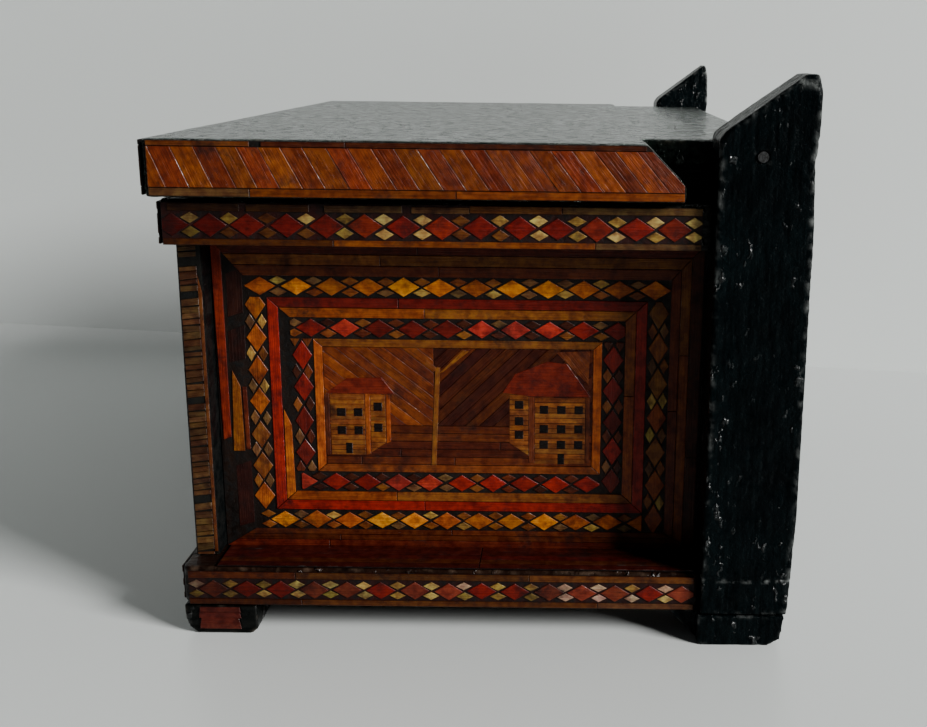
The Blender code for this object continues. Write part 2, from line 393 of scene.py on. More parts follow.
    def finish(self, body, *nodes):
        mesh = bpy.data.meshes.new(self.name)
        mesh.from_pydata(self.points, [], self.faces)
        mesh.materials.append(straw_material())
        mesh.materials.append(glue_material())
        mesh.polygons.foreach_set("material_index", self.slots)
        fibres = [number for fibre in self.fibres for number in fibre]
        tints = [number for tint in self.tints for number in tint]
        for label, kind, key, values in (("fibre", "FLOAT_VECTOR", "vector", fibres),
                                         ("tint", "FLOAT_COLOR", "color", tints),
                                         ("rim", "FLOAT", "value", self.rims)):
            mesh.attributes.new(label, kind, "POINT").data.foreach_set(key, values)
        mesh.validate()
        mesh.update()
        piece = bpy.data.objects.new(self.name, mesh)
        bpy.context.scene.collection.objects.link(piece)
        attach(piece, body)
        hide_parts(*nodes)
        return piece


# ---------------------------------------------------------------- node helpers

def new_material(name):
    """A material with only a Principled shader in its tree; returns all three."""
    made = bpy.data.materials.new(name)
    made.use_nodes = True
    return made, made.node_tree, made.node_tree.nodes["Principled BSDF"]


def node(tree, kind, inputs=None, **settings):
    made = tree.nodes.new(kind)
    for key, value in settings.items():
        setattr(made, key, value)
    for key, value in (inputs or {}).items():
        if isinstance(value, bpy.types.NodeSocket):
            tree.links.new(value, made.inputs[key])
        else:
            made.inputs[key].default_value = value
    return made


def maths(tree, operation, first, second=0.0, clamp=False):
    return node(tree, "ShaderNodeMath", {0: first, 1: second}, operation=operation,
                use_clamp=clamp).outputs[0]


def ramp(tree, value, low, high, to_low=0.0, to_high=1.0):
    return node(tree, "ShaderNodeMapRange", {"Value": value, "From Min": low, "From Max": high,
                                             "To Min": to_low, "To Max": to_high}).outputs[0]


def rgba(colour):
    return colour if isinstance(colour, bpy.types.NodeSocket) else (*colour, 1.0)


def mix(tree, share, first, second, blend="MIX"):
    inputs = {0: share, 6: rgba(first), 7: rgba(second)}
    return node(tree, "ShaderNodeMix", inputs, data_type="RGBA", blend_type=blend).outputs[2]


def grain(tree, vector, scale, stretch, detail=3.0, roughness=0.55):
    """Noise drawn out along one axis; stretch scales x, y and z of the coordinates."""
    mapped = node(tree, "ShaderNodeMapping", {"Vector": vector, "Scale": stretch})
    made = node(tree, "ShaderNodeTexNoise", {"Vector": mapped.outputs[0], "Scale": scale,
                                             "Detail": detail, "Roughness": roughness})
    return made.outputs[0]


def bumped(tree, height, strength, distance, normal=None):
    inputs = {"Height": height, "Strength": strength, "Distance": distance}
    if normal is not None:
        inputs["Normal"] = normal
    return node(tree, "ShaderNodeBump", inputs).outputs[0]


def join(tree, shader, **sockets):
    for name, value in sockets.items():
        tree.links.new(value, shader.inputs[name.replace("_", " ")])


# ---------------------------------------------------------------- materials

@cache
def straw_material():
    """Glossy split straw: fine fibres, stains, dirt in the joints, and a few shiny rims."""
    made, tree, shader = new_material("split_straw")
    fibre = node(tree, "ShaderNodeAttribute", attribute_name="fibre").outputs["Vector"]
    tint = node(tree, "ShaderNodeAttribute", attribute_name="tint").outputs["Color"]
    rim = node(tree, "ShaderNodeAttribute", attribute_name="rim").outputs["Fac"]
    place = node(tree, "ShaderNodeTexCoord").outputs["Object"]
    nerves = grain(tree, fibre, 1.0, (0.05, 2.4, 7.0), detail=4.0, roughness=0.7)
    stains = grain(tree, fibre, 1.0, (0.30, 0.5, 5.0), detail=3.0, roughness=0.6)
    grime = grain(tree, place, 90.0, (1, 1, 1), detail=6.0, roughness=0.7)
    blotches = grain(tree, place, 380.0, (1, 1, 1), detail=4.0, roughness=0.6)
    streaks = mix(tree, ramp(tree, nerves, 0.30, 0.72), (0.72, 0.62, 0.58), (1.26, 1.36, 1.4))
    colour = mix(tree, 1.0, tint, streaks, "MULTIPLY")
    for share, shade in ((ramp(tree, blotches, 0.48, 0.66, 0.0, 0.9), (1.40, 1.70, 1.5)),
                         (ramp(tree, blotches, 0.50, 0.36, 0.0, 0.8), (0.62, 0.50, 0.5)),
                         (ramp(tree, stains, 0.50, 0.74, 0.0, 0.6), (0.20, 0.12, 0.12)),
                         (ramp(tree, grime, 0.54, 0.68, 0.0, 0.8), (0.10, 0.08, 0.10)),
                         (maths(tree, "MULTIPLY", rim, 0.6), (0.16, 0.11, 0.11))):
        colour = mix(tree, share, colour, mix(tree, 1.0, colour, shade, "MULTIPLY"))
    rough = maths(tree, "ADD", ramp(tree, nerves, 0.3, 0.7, 0.24, 0.40),
                  ramp(tree, grime, 0.5, 0.7, 0.0, 0.3))
    fine = grain(tree, fibre, 1.0, (0.05, 6.0, 3.0), detail=2.0)
    normal = bumped(tree, nerves, 0.45, 0.0004)
    normal = bumped(tree, fine, 0.35, 0.0002, normal)
    pick = node(tree, "ShaderNodeSeparateXYZ", {"Vector": fibre}).outputs[2]
    glint = maths(tree, "MULTIPLY", maths(tree, "MULTIPLY", rim, ramp(tree, pick, 0.45, 0.75)),
                  ramp(tree, blotches, 0.56, 0.63), clamp=True)
    tree.links.new(ramp(tree, glint, 0.0, 1.0, 0.10, 0.8), shader.inputs["Specular IOR Level"])
    join(tree, shader, Base_Color=colour, Roughness=rough, Normal=normal)
    return made


@cache
def glue_material():
    """Dark glue and stained wood that shows in the joints and where straw is missing."""
    made, tree, shader = new_material("glue_and_stained_wood")
    tint = node(tree, "ShaderNodeAttribute", attribute_name="tint").outputs["Color"]
    place = node(tree, "ShaderNodeTexCoord").outputs["Object"]
    lumps = grain(tree, place, 420.0, (1, 1, 1), detail=5.0, roughness=0.6)
    streaks = grain(tree, place, 300.0, (1, 1, 0.12), detail=3.0)
    colour = mix(tree, ramp(tree, streaks, 0.35, 0.65), (0.45, 0.45, 0.45), (1.7, 1.6, 1.5))
    colour = mix(tree, 1.0, tint, colour, "MULTIPLY")
    colour = mix(tree, ramp(tree, lumps, 0.50, 0.62, 0.0, 0.8), colour, (0.0015, 0.0015, 0.0015))
    normal = bumped(tree, lumps, 0.7, 0.0004)
    join(tree, shader, Base_Color=colour, Normal=normal,
         Roughness=ramp(tree, lumps, 0.4, 0.6, 0.45, 0.75))
    shader.inputs["Specular IOR Level"].default_value = 0.12
    return made


def paint_material(name, dark, light, worn, stroke, gloss, shine, lump, drip=0.61, sheen=0.0):
    """Thick hand-brushed paint in dark and light patches, with worn edges and glossy drips.

    stroke stretches the brush marks, gloss is the least roughness and lump the depth of the lumps
    in metres. shine is the reflection level on upright faces, and sheen what faces looking up add
    to it. The lower drip is, the more drips there are.
    """
    made, tree, shader = new_material(name)
    place = node(tree, "ShaderNodeTexCoord").outputs["Object"]
    wear = node(tree, "ShaderNodeAttribute", attribute_name="wear").outputs["Fac"]
    up = node(tree, "ShaderNodeSeparateXYZ",
              {"Vector": node(tree, "ShaderNodeNewGeometry").outputs["True Normal"]}).outputs[2]
    patches = grain(tree, place, 55.0, (1, 1, 1), detail=4.0)
    lumps = grain(tree, place, 300.0, (1, 1, 1), detail=4.0, roughness=0.6)
    brush = grain(tree, place, 750.0, stroke, detail=4.0, roughness=0.6)
    drips = ramp(tree, grain(tree, place, 340.0, (1, 1, 0.7), detail=2.0), drip, drip + 0.10)
    drips = maths(tree, "MULTIPLY", drips, ramp(tree, patches, 0.46, 0.58), clamp=True)
    colour = mix(tree, ramp(tree, maths(tree, "ADD", patches, brush), 0.75, 1.25), dark, light)
    rubbed = maths(tree, "MULTIPLY", wear, ramp(tree, lumps, 0.42, 0.60), clamp=True)
    colour = mix(tree, rubbed, colour, worn)
    rough = maths(tree, "ADD", ramp(tree, patches, 0.3, 0.7, gloss + 0.12, gloss),
                  maths(tree, "MULTIPLY", rubbed, 0.3), clamp=True)
    wet = maths(tree, "ADD", ramp(tree, drips, 0.0, 1.0, shine, shine + 0.5),
                ramp(tree, up, 0.5, 0.9, 0.0, sheen))
    specks = grain(tree, place, 360.0, (1, 0.6, 1), detail=6.0, roughness=0.75)
    wet = maths(tree, "MULTIPLY", wet, ramp(tree, specks, 0.55, 0.62, 1.0, 0.2))
    wet = maths(tree, "MULTIPLY", wet, ramp(tree, brush, 0.35, 0.65, 0.6, 1.3))
    tree.links.new(wet, shader.inputs["Specular IOR Level"])
    normal = bumped(tree, lumps, 0.8, lump)
    normal = bumped(tree, brush, 0.6, 0.0003, normal)
    normal = bumped(tree, drips, 0.9, 0.0008, normal)
    normal = bumped(tree, ramp(tree, specks, 0.52, 0.62), 0.9, sheen * 0.0016, normal)
    join(tree, shader, Base_Color=colour, Roughness=rough, Normal=normal)
    if sheen:
        shader.inputs["Specular Tint"].default_value = (0.86, 1.0, 0.92, 1.0)
    return made


@cache
def post_paint():
    return paint_material("black_paint_upright", (0.0003, 0.0007, 0.0009), (0.0010, 0.0025, 0.0029),
                          (0.13, 0.138, 0.134), stroke=(1, 1, 0.12), gloss=0.20, shine=0.03,
                          lump=0.0010)


@cache
def lid_paint():
    return paint_material("black_paint_lid", (0.0010, 0.0020, 0.0016), (0.004, 0.007, 0.0055),
                          (0.030, 0.026, 0.018), stroke=(0.14, 1, 1), gloss=0.13, shine=0.07,
                          lump=0.0009, drip=0.53, sheen=0.5)


@cache
def trim_paint():
    return paint_material("black_paint_trim", (0.0006, 0.0010, 0.0009), (0.0026, 0.0027, 0.0023),
                          (0.040, 0.034, 0.026), stroke=(1, 0.12, 1), gloss=0.24, shine=0.07,
                          lump=0.0006, drip=0.55)


@cache
def base_paint():
    """Black gone brown with handling."""
    return paint_material("brown_black_paint_base", (0.0026, 0.0012, 0.0008), (0.010, 0.0040, 0.0023),
                          (0.055, 0.034, 0.022), stroke=(1, 0.12, 1), gloss=0.28, shine=0.06,
                          lump=0.0006, drip=0.57)


def drawn_out(along, share):
    """Noise scales that draw a pattern out along one axis."""
    return tuple(share if axis == along else 1.0 for axis in range(3))


def wood_colour(tree, place, along):
    """Softwood with rings drawn out along the board; returns the colour and the rings."""
    stretch = drawn_out(along, 0.08)
    rings = grain(tree, place, 190.0, stretch, detail=4.0, roughness=0.6)
    pores = grain(tree, place, 1500.0, stretch, detail=2.0)
    colour = mix(tree, ramp(tree, rings, 0.35, 0.65), (0.20, 0.105, 0.045), (0.40, 0.25, 0.125))
    return mix(tree, ramp(tree, pores, 0.55, 0.7, 0.0, 0.4), colour, (0.10, 0.05, 0.02)), rings


def board_material(name, inward, along, inner_half):
    """A board painted black outside, and bare where it looks into the box.

    inner_half is how far from the middle the bare part runs along the board, in metres.
    """
    made, tree, shader = new_material(name)
    place = node(tree, "ShaderNodeTexCoord").outputs["Object"]
    facing = node(tree, "ShaderNodeVectorMath",
                  {0: node(tree, "ShaderNodeNewGeometry").outputs["True Normal"], 1: inward},
                  operation="DOT_PRODUCT").outputs["Value"]
    run = node(tree, "ShaderNodeSeparateXYZ", {"Vector": place}).outputs[along]
    inside = maths(tree, "LESS_THAN", maths(tree, "ABSOLUTE", run), inner_half)
    bare = maths(tree, "MULTIPLY", ramp(tree, facing, 0.45, 0.55), inside)
    wood, rings = wood_colour(tree, place, along)
    lumps = grain(tree, place, 320.0, (1, 1, 1), detail=4.0)
    brush = grain(tree, place, 600.0, drawn_out(along, 0.12), detail=4.0)
    paint = mix(tree, ramp(tree, lumps, 0.4, 0.6), (0.0008, 0.0012, 0.0013), (0.0033, 0.0035, 0.0033))
    normal = bumped(tree, mix(tree, bare, lumps, rings), 0.6, 0.0007)
    normal = bumped(tree, brush, 0.6, 0.0005, normal)
    painted = ramp(tree, brush, 0.35, 0.65, 0.34, 0.52)
    rough = maths(tree, "ADD", painted, ramp(tree, bare, 0.0, 1.0, 0.0, 0.25))
    join(tree, shader, Base_Color=mix(tree, bare, paint, wood), Normal=normal, Roughness=rough)
    shader.inputs["Specular IOR Level"].default_value = 0.06
    return made


@cache
def bare_wood():
    made, tree, shader = new_material("bare_softwood")
    colour, rings = wood_colour(tree, node(tree, "ShaderNodeTexCoord").outputs["Object"], 0)
    join(tree, shader, Base_Color=colour, Normal=bumped(tree, rings, 0.4, 0.0003),
         Roughness=ramp(tree, rings, 0.3, 0.7, 0.55, 0.75))
    return made


@cache
def pin_metal():
    made, tree, shader = new_material("dull_nail_steel")
    place = node(tree, "ShaderNodeTexCoord").outputs["Object"]
    rust = grain(tree, place, 1400.0, (1, 1, 1), detail=4.0)
    colour = mix(tree, ramp(tree, rust, 0.40, 0.55), (0.030, 0.031, 0.032), (0.006, 0.006, 0.006))
    join(tree, shader, Base_Color=colour, Normal=bumped(tree, rust, 0.5, 0.0002),
         Roughness=ramp(tree, rust, 0.4, 0.65, 0.42, 0.8))
    shader.inputs["Metallic"].default_value = 0.7
    return made


# ---------------------------------------------------------------- worn, hand-painted wood

def neighbour_mean(points, edges):
    total = np.zeros_like(points)
    count = np.zeros(len(points))
    for a, b in ((0, 1), (1, 0)):
        np.add.at(total, edges[:, a], points[edges[:, b]])
        np.add.at(count, edges[:, a], 1)
    return total / np.maximum(count, 1)[:, None]


def sharpness(points, normals, edges, rounds=2):
    """How far each point stands out as a convex edge, smoothed a little."""
    out = points - neighbour_mean(points, edges)
    sharp = np.einsum("ij,ij->i", out, normals)
    for _ in range(rounds):
        sharp = 0.5 * sharp + 0.5 * neighbour_mean(sharp[:, None], edges)[:, 0]
    return sharp


def noise_at(points, size, seed):
    shift = Vector((seed * 7.31, seed * 3.17, seed * 5.77))
    return np.array([noise.noise(Vector(p) / size + shift) for p in points])


def remeshed(sources, voxel):
    """The meshes of some CAD pieces, rebuilt as one even grid of small quads."""
    draft_mesh = bpy.data.meshes.new("draft")
    shape = bmesh.new()
    for source in sources:
        shape.from_mesh(source.data)
    shape.to_mesh(draft_mesh)
    shape.free()
    draft = bpy.data.objects.new("draft", draft_mesh)
    bpy.context.scene.collection.objects.link(draft)
    grid = draft.modifiers.new("even_quads", "REMESH")
    grid.mode = "VOXEL"
    grid.voxel_size = voxel
    soften = draft.modifiers.new("soften", "SMOOTH")
    soften.factor = 0.4
    soften.iterations = 1
    graph = bpy.context.evaluated_depsgraph_get()
    mesh = bpy.data.meshes.new_from_object(draft.evaluated_get(graph))
    bpy.data.objects.remove(draft, do_unlink=True)
    return mesh


def mesh_arrays(mesh):
    """The points, point normals and edges of a mesh, one per row."""
    points = np.empty(len(mesh.vertices) * 3)
    normals = np.empty(len(mesh.vertices) * 3)
    edges = np.empty(len(mesh.edges) * 2, dtype=np.int64)
    mesh.vertices.foreach_get("co", points)
    mesh.vertex_normals.foreach_get("vector", normals)
    mesh.edges.foreach_get("vertices", edges)
    return points.reshape(-1, 3), normals.reshape(-1, 3), edges.reshape(-1, 2)


def worn_copy(name, cad_names, body, look, voxel, seed, lumps=0.0, rubbed_from=None, scored_at=None):
    """A hand-worn copy of some CAD pieces: wavy faces, lumps, chipped edges.

    Everything is taken off the CAD shape, never added. Lengths are in millimetres: lumps is their
    depth, the paint is rubbed through above rubbed_from, and a line is scored round at scored_at.
    """
    mesh = remeshed([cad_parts[cad_name] for cad_name in cad_names], voxel * MM)
    points, normals, edges = mesh_arrays(mesh)
    sharp = np.clip(sharpness(points, normals, edges) / (0.16 * voxel * MM), 0, 1)
    broad = noise_at(points, BROAD_WAVES * MM, seed)
    fine = noise_at(points, FINE_WAVES * MM, seed + 5)
    pits = np.clip(0.45 - 0.9 * noise_at(points, PITS * MM, seed + 9), 0, 1)
    chips = np.clip(fine + 0.5 * broad - 0.32, 0, 1) * 1.8
    depth = 0.03 + 0.05 * broad + lumps * pits * np.clip(0.35 + broad, 0, 1) + 0.45 * sharp * chips
    worn = sharp * np.clip(0.15 + 1.2 * (fine + 0.5 * broad), 0, 1)
    heights = points[:, 2] / MM
    if rubbed_from is not None:
        worn = worn + np.clip((heights - rubbed_from) / 3, 0, 1) * np.clip(0.6 + 1.5 * fine, 0, 1)
    if scored_at is not None:
        line = np.exp(-((heights - scored_at) / 0.45) ** 2)
        depth = depth + 0.18 * line
        worn = worn + line * np.clip(0.5 + 3 * fine, 0, 1)
    points = points - normals * (np.maximum(depth, 0) * MM)[:, None]
    mesh.vertices.foreach_set("co", points.ravel())
    wear = mesh.attributes.new("wear", "FLOAT", "POINT")
    wear.data.foreach_set("value", np.clip(worn, 0, 1))
    mesh.polygons.foreach_set("use_smooth", [True] * len(mesh.polygons))
    mesh.materials.clear()
    mesh.materials.append(look)
    mesh.update()
    piece = bpy.data.objects.new(name, mesh)
    bpy.context.scene.collection.objects.link(piece)
    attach(piece, body)
    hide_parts(*cad_names)
    return piece


def paint_cad_node(cad_name, look):
    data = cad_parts[cad_name].data
    data.materials.clear()
    data.materials.append(look)


# ---------------------------------------------------------------- where straw goes

def end_place(cad_name, side):
    """Maps (distance back, height, lift) onto an end face, all in millimetres."""
    low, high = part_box(cad_name)
    wood = min(abs(low.x), abs(high.x))
    return lambda u, v, lift: (side * (wood + lift * MM), FRONT_EDGE + u * MM, v * MM)


def front_place(cad_name):
    """Maps (distance from the middle, height, lift) onto a front face."""
    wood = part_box(cad_name)[1].y
    return lambda u, v, lift: (u * MM, wood - lift * MM, v * MM)


def ledge_place(cad_name, side):
    """Maps (distance back, distance from the middle, lift) onto the top of a base rail."""
    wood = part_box(cad_name)[0].z
    return lambda u, v, lift: (side * v * MM, FRONT_EDGE + u * MM, wood + lift * MM)


def face_rectangle(cad_name, axis):
    """(u0, v0, u1, v1) of a CAD skin in millimetres, u along Y for an end or X for the front."""
    low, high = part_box(cad_name)
    shift = FRONT_EDGE if axis == 1 else 0.0
    return ((low[axis] - shift) / MM, low.z / MM, (high[axis] - shift) / MM, high.z / MM)


def slanted_band(inlay, rect, edge, start, leans):
    """Gold and russet straws by turns, leaning back from top to bottom.

    edge is a (point, normal) line that cuts the band off, and leans how far the straws lean at the
    near and at the far end.
    """
    u0, v0, u1, v1 = rect
    limit = cut(rectangle(*rect), *edge) if edge else rectangle(*rect)
    first, last = leans
    tints = (LID_GOLD, RUSSET)
    at = start
    index = 0

    def lean(u):
        return first + (last - first) * min(1.0, max(0.0, (u - u0) / (u1 - u0)))
    while at < u1 + SLANTED_WIDTH:
        after = at + SLANTED_WIDTH * inlay.random.gauss(1.0, 0.05)
        piece = [(at + lean(at), v0), (after + lean(after), v0), (after, v1), (at, v1)]
        angle = math.atan2(v1 - v0, -lean(at))
        inlay.straw(cut_to(piece, limit), angle, tints[index % len(tints)], gap=0.02)
        at = after
        index += 1


def lid_end(side, hand):
    name = f"straw_lid_end_{hand}"
    inlay = Inlay(f"marquetry_lid_end_{hand}", end_place(name, side), LID_SHADE)
    u0, v0, u1, v1 = face_rectangle(name, 1)
    u0 += 1.0
    bevel_top, bevel_foot, tail_top = 138.0, (146.7, 137.9), 135.4
    inlay.ground([(u0, v0), (u1, v0), (u1, tail_top), bevel_foot, (bevel_top, v1), (u0, v1)])
    chip_start, chip_end = u0 + 28, u0 + 31
    inlay.long_straw(rectangle(u0, v0, u1 - 0.2, v0 + 2.3), 0, [OCHRE, AMBER, OLIVE])
    inlay.long_straw(rectangle(chip_end, v1 - 1.5, bevel_top - 0.2, v1), 0, [BROWN, OCHRE])
    inlay.long_straw(rectangle(u0, v1 - 1.5, chip_start, v1), 0, [BROWN, OCHRE])
    band = (u0, v0 + SLANTED_FOOT, u1 - 0.3, v1 - SLANTED_HEAD)
    point_on_bevel, bevel_normal = (141.5, 142.9), (0.71, 0.70)
    slanted_band(inlay, band, (point_on_bevel, bevel_normal), u0 - 5.6, (4.5, 9.8))
    inlay.finish("lid", name)


def banded_rail(name, side, pitch, first, big, small, strips, chipped=0.0):
    """A rail with one straw at the top and bottom and a row of diamonds between.

    side is -1 or 1 for an end and 0 for the front. The first half of the rail is dull with handling,
    and chipped is the longest gap in the top straw there.
    """
    place = end_place(name, side) if side else front_place(name)
    u0, v0, u1, v1 = face_rectangle(name, 1 if side else 0)
    halfway = u0 + 0.5 * (u1 - u0)
    dulled = (u0, halfway, 0.3)
    inlay = Inlay(name.replace("straw_", "marquetry_"), place, RAIL_SHADE, dulled)
    inlay.ground(rectangle(u0, v0, u1, v1), (0.0065, 0.0010, 0.0007))
    inlay.long_straw(rectangle(u0, v0, u1, v0 + 1.9), 0, strips)
    at = u0
    while chipped and at < halfway:
        at += inlay.random.uniform(0.2, 1.0) * chipped
        length = inlay.random.uniform(7, 22)
        left = rectangle(at, v1 - 2.4, at + length, v1 - inlay.random.uniform(0, 0.7))
        inlay.straw(left, 0, inlay.random.choice(strips), gap=0.07)
        at += length
    inlay.long_straw(rectangle(at, v1 - 2.2, u1, v1), 0, strips)
    inlay.diamonds((u0, v0 + 2.1, u1, v1 - 2.5), 0, pitch, first, big, small, 0.01)
    inlay.finish("box", name)


def house_wall(inlay, at, outline, columns, rows, door=None):
    """A wall of thin level straws with dark window openings and perhaps a door.

    at turns shares of the picture's width and height into millimetres.
    """
    points = [at(*corner) for corner in outline]
    low, high = min(p[1] for p in points), max(p[1] for p in points)
    straw_width = 1.6
    count = round((high - low) / straw_width)
    step = (high - low) / count
    wide = 200
    for index in range(count):
        level = rectangle(-wide, low + index * step, wide, low + (index + 1) * step)
        tint = inlay.random.choice([OCHRE, WALL_OCHRE, WALL_OCHRE])
        inlay.straw(cut_to(level, points), 0, tint, gap=0.02, top=PICTURE_WALL, play=0.2)
    window_size, door_size = (1.3, 1.3), (1.0, 1.7)
    openings = [(u, v, *window_size) for v in rows for u in columns]
    if door:
        openings.append((*door, *door_size))
    for u, v, half_width, half_height in openings:
        u, v = at(u, v)
        hole = rectangle(u - half_width, v - half_height, u + half_width, v + half_height)
        inlay.straw(hole, 0, (0.004, 0.002, 0.002), gap=0.0, top=PICTURE_HOLE, play=0.1)


def scene_picture(inlay, rect):
    """Two small houses either side of a bare tree, under a sky of slanting straws."""
    u0, v0, u1, v1 = rect

    def at(u, v):
        return u0 + u * (u1 - u0), v0 + v * (v1 - v0)

    def straws(left, low, right, high, angle, width, tints, lengths=None):
        field = rectangle(*at(left, low), *at(right, high))
        inlay.fill(field, math.radians(angle), width, tints, lengths, top=PICTURE_BACK, play=0.3)
    sky = [(0.12, 0.019, 0.003), (0.095, 0.014, 0.003), (0.13, 0.024, 0.003)]
    shade = [(0.040, 0.006, 0.002), (0.024, 0.004, 0.002), (0.055, 0.009, 0.002)]
    earth = [(0.060, 0.010, 0.002), (0.050, 0.007, 0.002), (0.075, 0.014, 0.003)]
    tree = 0.41
    straws(0, 0.34, tree, 1, -38, 3.1, sky)
    straws(tree, 0.34, 1, 1, 44, 2.9, shade)
    straws(0, 0, 1, 0.34, 0, 2.5, earth, lengths=(25, 60))

    def piece(outline, angle, tint, top=PICTURE_PIECE):
        points = [at(*corner) for corner in outline]
        inlay.straw(points, math.radians(angle), tint, gap=0.03, top=top, play=0.2)
    piece([(0.86, 0.98), (0.985, 0.70), (0.99, 0.99)], -52, (0.10, 0.022, 0.004), PICTURE_WALL)
    piece([(0.395, 0.0), (0.415, 0.0), (0.435, 0.84), (0.415, 0.84)], 88, (0.16, 0.055, 0.008))
    piece([(0.425, 0.78), (0.445, 0.80), (0.545, 0.98), (0.520, 0.99)], 52, (0.13, 0.040, 0.006))
    piece([(0.415, 0.80), (0.430, 0.82), (0.385, 0.90), (0.375, 0.87)], 140, (0.12, 0.035, 0.006))
    roof = (0.115, 0.0095, 0.003)
    piece([(0.005, 0.61), (0.265, 0.605), (0.215, 0.75), (0.085, 0.74)], 0, roof)
    piece([(0.0, 0.08), (0.018, 0.08), (0.018, 0.61), (0.0, 0.61)], 90, BROWN)
    house_wall(inlay, at, [(0.02, 0.08), (0.15, 0.08), (0.15, 0.605), (0.02, 0.605)],
               (0.062, 0.125), (0.295, 0.45), (0.088, 0.14))
    piece([(0.15, 0.08), (0.17, 0.09), (0.17, 0.61), (0.15, 0.61)], 90, AMBER)
    house_wall(inlay, at, [(0.17, 0.10), (0.228, 0.19), (0.228, 0.60), (0.17, 0.60)],
               (0.199,), (0.32, 0.50))
    piece([(0.228, 0.18), (0.246, 0.20), (0.246, 0.60), (0.228, 0.60)], 90, AMBER)
    far_roof = [(0.663, 0.63), (0.77, 0.60), (0.995, 0.60), (0.905, 0.88), (0.83, 0.90), (0.71, 0.79)]
    piece(far_roof, 0, roof)
    house_wall(inlay, at, [(0.69, 0.20), (0.763, 0.09), (0.763, 0.60), (0.69, 0.66)],
               (0.727,), (0.27, 0.39, 0.53))
    piece([(0.763, 0.03), (0.785, 0.03), (0.785, 0.60), (0.763, 0.60)], 90, BROWN)
    house_wall(inlay, at, [(0.785, 0.02), (0.975, 0.02), (0.975, 0.595), (0.785, 0.595)],
               (0.82, 0.885, 0.95), (0.19, 0.325, 0.49), (0.885, 0.065))
    piece([(0.975, 0.03), (0.992, 0.03), (0.992, 0.60), (0.975, 0.60)], 90, BROWN)


def end_panel(side, hand):
    """The sunk end panel: nested straw frames round a picture, with straw lost at the front."""
    name = f"straw_panel_end_{hand}"
    inlay = Inlay(f"marquetry_panel_{hand}", end_place(name, side), PANEL_SHADE)
    panel = face_rectangle(name, 1)
    inlay.ground(rectangle(*panel))
    inner = around(PICTURE_FRAME, DIAMOND_ROW)
    red_frame = around(inner, STRAW_PAIR)
    outer = around(red_frame, DIAMOND_ROW)
    outer_strips(inlay, panel, outer)
    diamond_frame(inlay, outer, red_frame, (10.55, 9.95, 10.0, 10.75), (5.0, 7.7, 4.2, 4.6),
                  ([BRIGHT_GOLD, GOLD, GOLD], [BRIGHT_GOLD, BRIGHT_GOLD, GOLD], [AMBER, OCHRE, GOLD],
                   [AMBER, OCHRE]), [OCHRE, PALE_GOLD, OLIVE, OCHRE])
    double_frame(inlay, red_frame, inner)
    diamond_frame(inlay, inner, PICTURE_FRAME, (10.1, 9.6, 10.2, 9.6), (6.2, 10.4, 6.0, 4.0),
                  ([RED, ROSE, DEEP_RED], [ROSE, RED, RED], [RED, DEEP_RED, DEEP_RED],
                   [RED, DEEP_RED]), [BROWN, DARK_BROWN, OLIVE, OCHRE])
    inside = nested(PICTURE_FRAME, *PICTURE_BORDER)
    for where, band in mitred_sides(PICTURE_FRAME, inside).items():
        angle = band_angle(where)
        inlay.straw(band, angle, GOLD if angle else OCHRE, gap=0.05)
    scene_picture(inlay, inside)
    inlay.finish("box", name)


def diamond_frame(inlay, outer, inner, pitches, firsts, bigs, small):
    """Four rows of diamonds between two nested rectangles; the top row runs over both corners.

    pitches, firsts (from the row's start) and bigs are for the top, bottom, front and back rows.
    """
    u0, v0, u1, v1 = outer
    a, b, c, d = inner
    edge = 0.25
    rows = (((u0, d + edge, u1, v1), 0), ((u0 + 1.5, v0, c, b - edge), 0),
            ((u0, b, a - edge, d), UPRIGHT), ((c + edge, v0, u1, d), UPRIGHT))
    for (rect, angle), pitch, first, big in zip(rows, pitches, firsts, bigs):
        start = rect[0] if angle == 0 else rect[1]
        inlay.diamonds(rect, angle, pitch, start + first, big, small)


def outer_strips(inlay, panel, outer):
    """Three straws round the panel; most of those along the front edge have come away."""
    shares = (0.0, 0.38, 0.69, 1.0)
    # the outermost straw along the back is dark brown where top and bottom are maroon: painted shade
    # of the hinge post's shadow
    tints = {"bottom": (MAROON, BROWN, BROWN), "top": (MAROON, OCHRE, BROWN),
             "back": (DARK_BROWN, OCHRE, BROWN)}
    edges = [outer[index] - panel[index] for index in range(4)]
    rings = [tuple(panel[index] + share * edges[index] for index in range(4)) for share in shares]
    for index in range(3):
        for where, band in mitred_sides(rings[index], rings[index + 1]).items():
            if where != "front":
                inlay.long_straw(band, band_angle(where), [tints[where][index]], (70, 120))
    front_remains(inlay, rings)


def front_remains(inlay, rings):
    """What is left of the three straws along the front edge, and stains where they were."""
    u0, v0, _, v1 = rings[0]
    a, b, c = rings[1][0], rings[2][0], rings[3][0]
    inlay.straw([(u0 + 0.6, v0 + 34), (a - 0.2, v0 + 35), (a - 0.3, v1 - 3), (u0, v1)], UPRIGHT,
                (0.13, 0.010, 0.003))
    inlay.straw([(a, v0 + 30.5), (b + 0.9, v0 + 30.5), (b + 0.6, v0 + 51), (a + 1.0, v0 + 56)],
                UPRIGHT, (0.17, 0.040, 0.005))
    inlay.straw([(b + 1.0, v0 + 31), (c - 0.2, v0 + 31), (c - 0.4, v0 + 51), (b + 0.8, v0 + 51)],
                UPRIGHT, BROWN, top=STRAW_TOP - 0.12)
    for low, high, left in ((6, 28, 0.4), (58, 70, 0.2), (72, v1 - v0 - 8, 0.5)):
        start, end = v0 + low, v0 + high
        stained = [(a + left, start), (c - 0.2, start + 1.5), (c, end), (a + left, end - 2)]
        inlay.straw(stained, UPRIGHT, (0.016, 0.003, 0.002), top=GROUND + 0.07)


